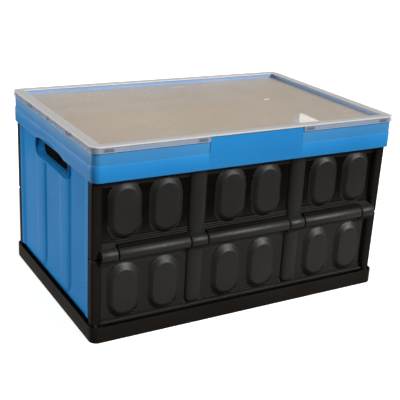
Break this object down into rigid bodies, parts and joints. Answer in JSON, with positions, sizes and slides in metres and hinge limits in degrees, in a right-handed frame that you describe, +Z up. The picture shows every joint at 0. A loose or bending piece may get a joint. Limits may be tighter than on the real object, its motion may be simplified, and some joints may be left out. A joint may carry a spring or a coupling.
{
  "type": "collapsible storage crate",
  "caption": "Folding storage crate with a black base and folding long walls, a blue top frame with swing-up end walls and hand holes, and a clear lift-off lid.",
  "frame": {"origin": "middle of the underside, on the surface the crate stands on", "axes": "+X along the crate, -Y out of the front long wall, +Z up"},
  "size_m": [0.6, 0.4, 0.34],
  "materials": {
    "black_plastic": "matte",
    "blue_plastic": "satin",
    "clear_plastic": "satin",
    "steel": "brushed"
  },
  "bodies": {
    "crate": {"base_tray": "black_plastic", "top_frame": "blue_plastic", "front_lower_panel": "black_plastic", "front_upper_panel": "black_plastic", "rear_lower_panel": "black_plastic", "rear_upper_panel": "black_plastic", "front_hinge_rod": "steel", "rear_hinge_rod": "steel", "base_pin_front_left": "steel", "base_pin_front_right": "steel", "base_pin_rear_left": "steel", "base_pin_rear_right": "steel", "top_pin_front_left": "steel", "top_pin_front_right": "steel", "top_pin_rear_left": "steel", "top_pin_rear_right": "steel", "end_pin_left_front": "steel", "end_pin_left_rear": "steel", "end_pin_right_front": "steel", "end_pin_right_rear": "steel"},
    "end_left": {"end_wall_left": "blue_plastic"},
    "end_right": {"end_wall_right": "blue_plastic"},
    "lid": {"lid": "clear_plastic"}
  },
  "joints": [
    {"name": "end_left_swing", "type": "hinge", "parent": "crate", "child": "end_left", "pos_m": [-0.2885, 0, 0.31], "axis": [0, -1, 0], "range_deg": [0, 90]},
    {"name": "end_right_swing", "type": "hinge", "parent": "crate", "child": "end_right", "pos_m": [0.2885, 0, 0.31], "axis": [0, 1, 0], "range_deg": [0, 90]},
    {"name": "lid_lift", "type": "slide", "parent": "crate", "child": "lid", "axis": [0, 0, 1], "range_m": [0, 0.15]}
  ]
}
